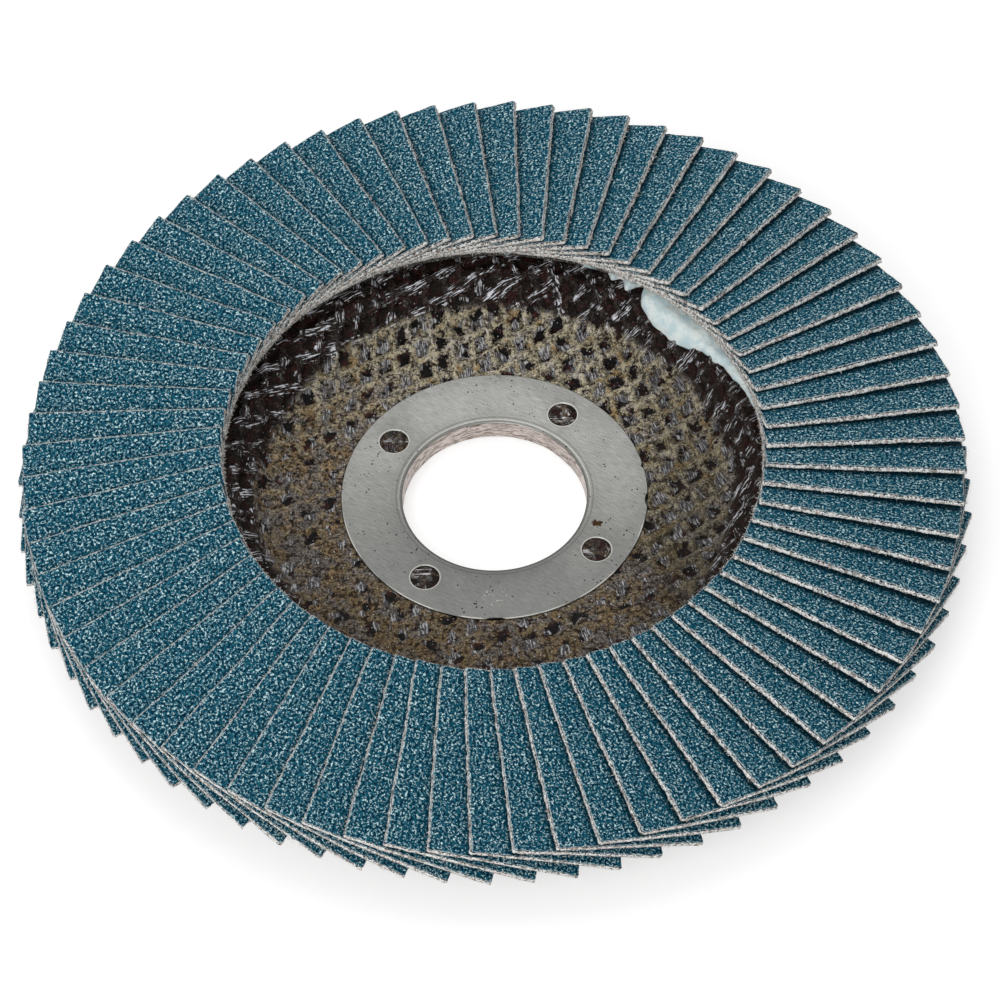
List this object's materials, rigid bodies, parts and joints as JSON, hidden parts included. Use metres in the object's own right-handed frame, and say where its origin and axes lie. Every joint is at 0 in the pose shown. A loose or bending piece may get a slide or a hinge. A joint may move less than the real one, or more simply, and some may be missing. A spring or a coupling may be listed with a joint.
{
  "type": "flap disc",
  "caption": "Round abrasive flap disc: overlapping blue zirconia cloth flaps fanned on a dished glass-fibre plate with a steel-lined bore.",
  "frame": {"origin": "on the bore axis at the back face of the hub, the face the disc lies on", "axes": "+Z along the bore axis, out of the abrasive side; +X and +Y lie in the plane of the hub, with no feature on them"},
  "size_m": [0.115, 0.115, 0.0131],
  "materials": {
    "fibre_resin": "satin",
    "ring_steel": "brushed",
    "epoxy": "gloss",
    "abrasive_cloth": "coarse grit"
  },
  "bodies": {
    "root": {"backing_plate": "fibre_resin", "centre_ring": "ring_steel", "adhesive_ring": "epoxy", "flap_pair_01": "abrasive_cloth", "flap_pair_02": "abrasive_cloth", "flap_pair_03": "abrasive_cloth", "flap_pair_04": "abrasive_cloth", "flap_pair_05": "abrasive_cloth", "flap_pair_06": "abrasive_cloth", "flap_pair_07": "abrasive_cloth", "flap_pair_08": "abrasive_cloth", "flap_pair_09": "abrasive_cloth", "flap_pair_10": "abrasive_cloth", "flap_pair_11": "abrasive_cloth", "flap_pair_12": "abrasive_cloth", "flap_pair_13": "abrasive_cloth", "flap_pair_14": "abrasive_cloth", "flap_pair_15": "abrasive_cloth", "flap_pair_16": "abrasive_cloth", "flap_pair_17": "abrasive_cloth", "flap_pair_18": "abrasive_cloth", "flap_pair_19": "abrasive_cloth", "flap_pair_20": "abrasive_cloth", "flap_pair_21": "abrasive_cloth", "flap_pair_22": "abrasive_cloth", "flap_pair_23": "abrasive_cloth", "flap_pair_24": "abrasive_cloth", "flap_pair_25": "abrasive_cloth", "flap_pair_26": "abrasive_cloth", "flap_pair_27": "abrasive_cloth", "flap_pair_28": "abrasive_cloth", "flap_pair_29": "abrasive_cloth", "flap_pair_30": "abrasive_cloth", "flap_pair_31": "abrasive_cloth", "flap_pair_32": "abrasive_cloth", "flap_pair_33": "abrasive_cloth", "flap_pair_34": "abrasive_cloth", "flap_pair_35": "abrasive_cloth", "flap_pair_36": "abrasive_cloth"}
  },
  "joints": []
}
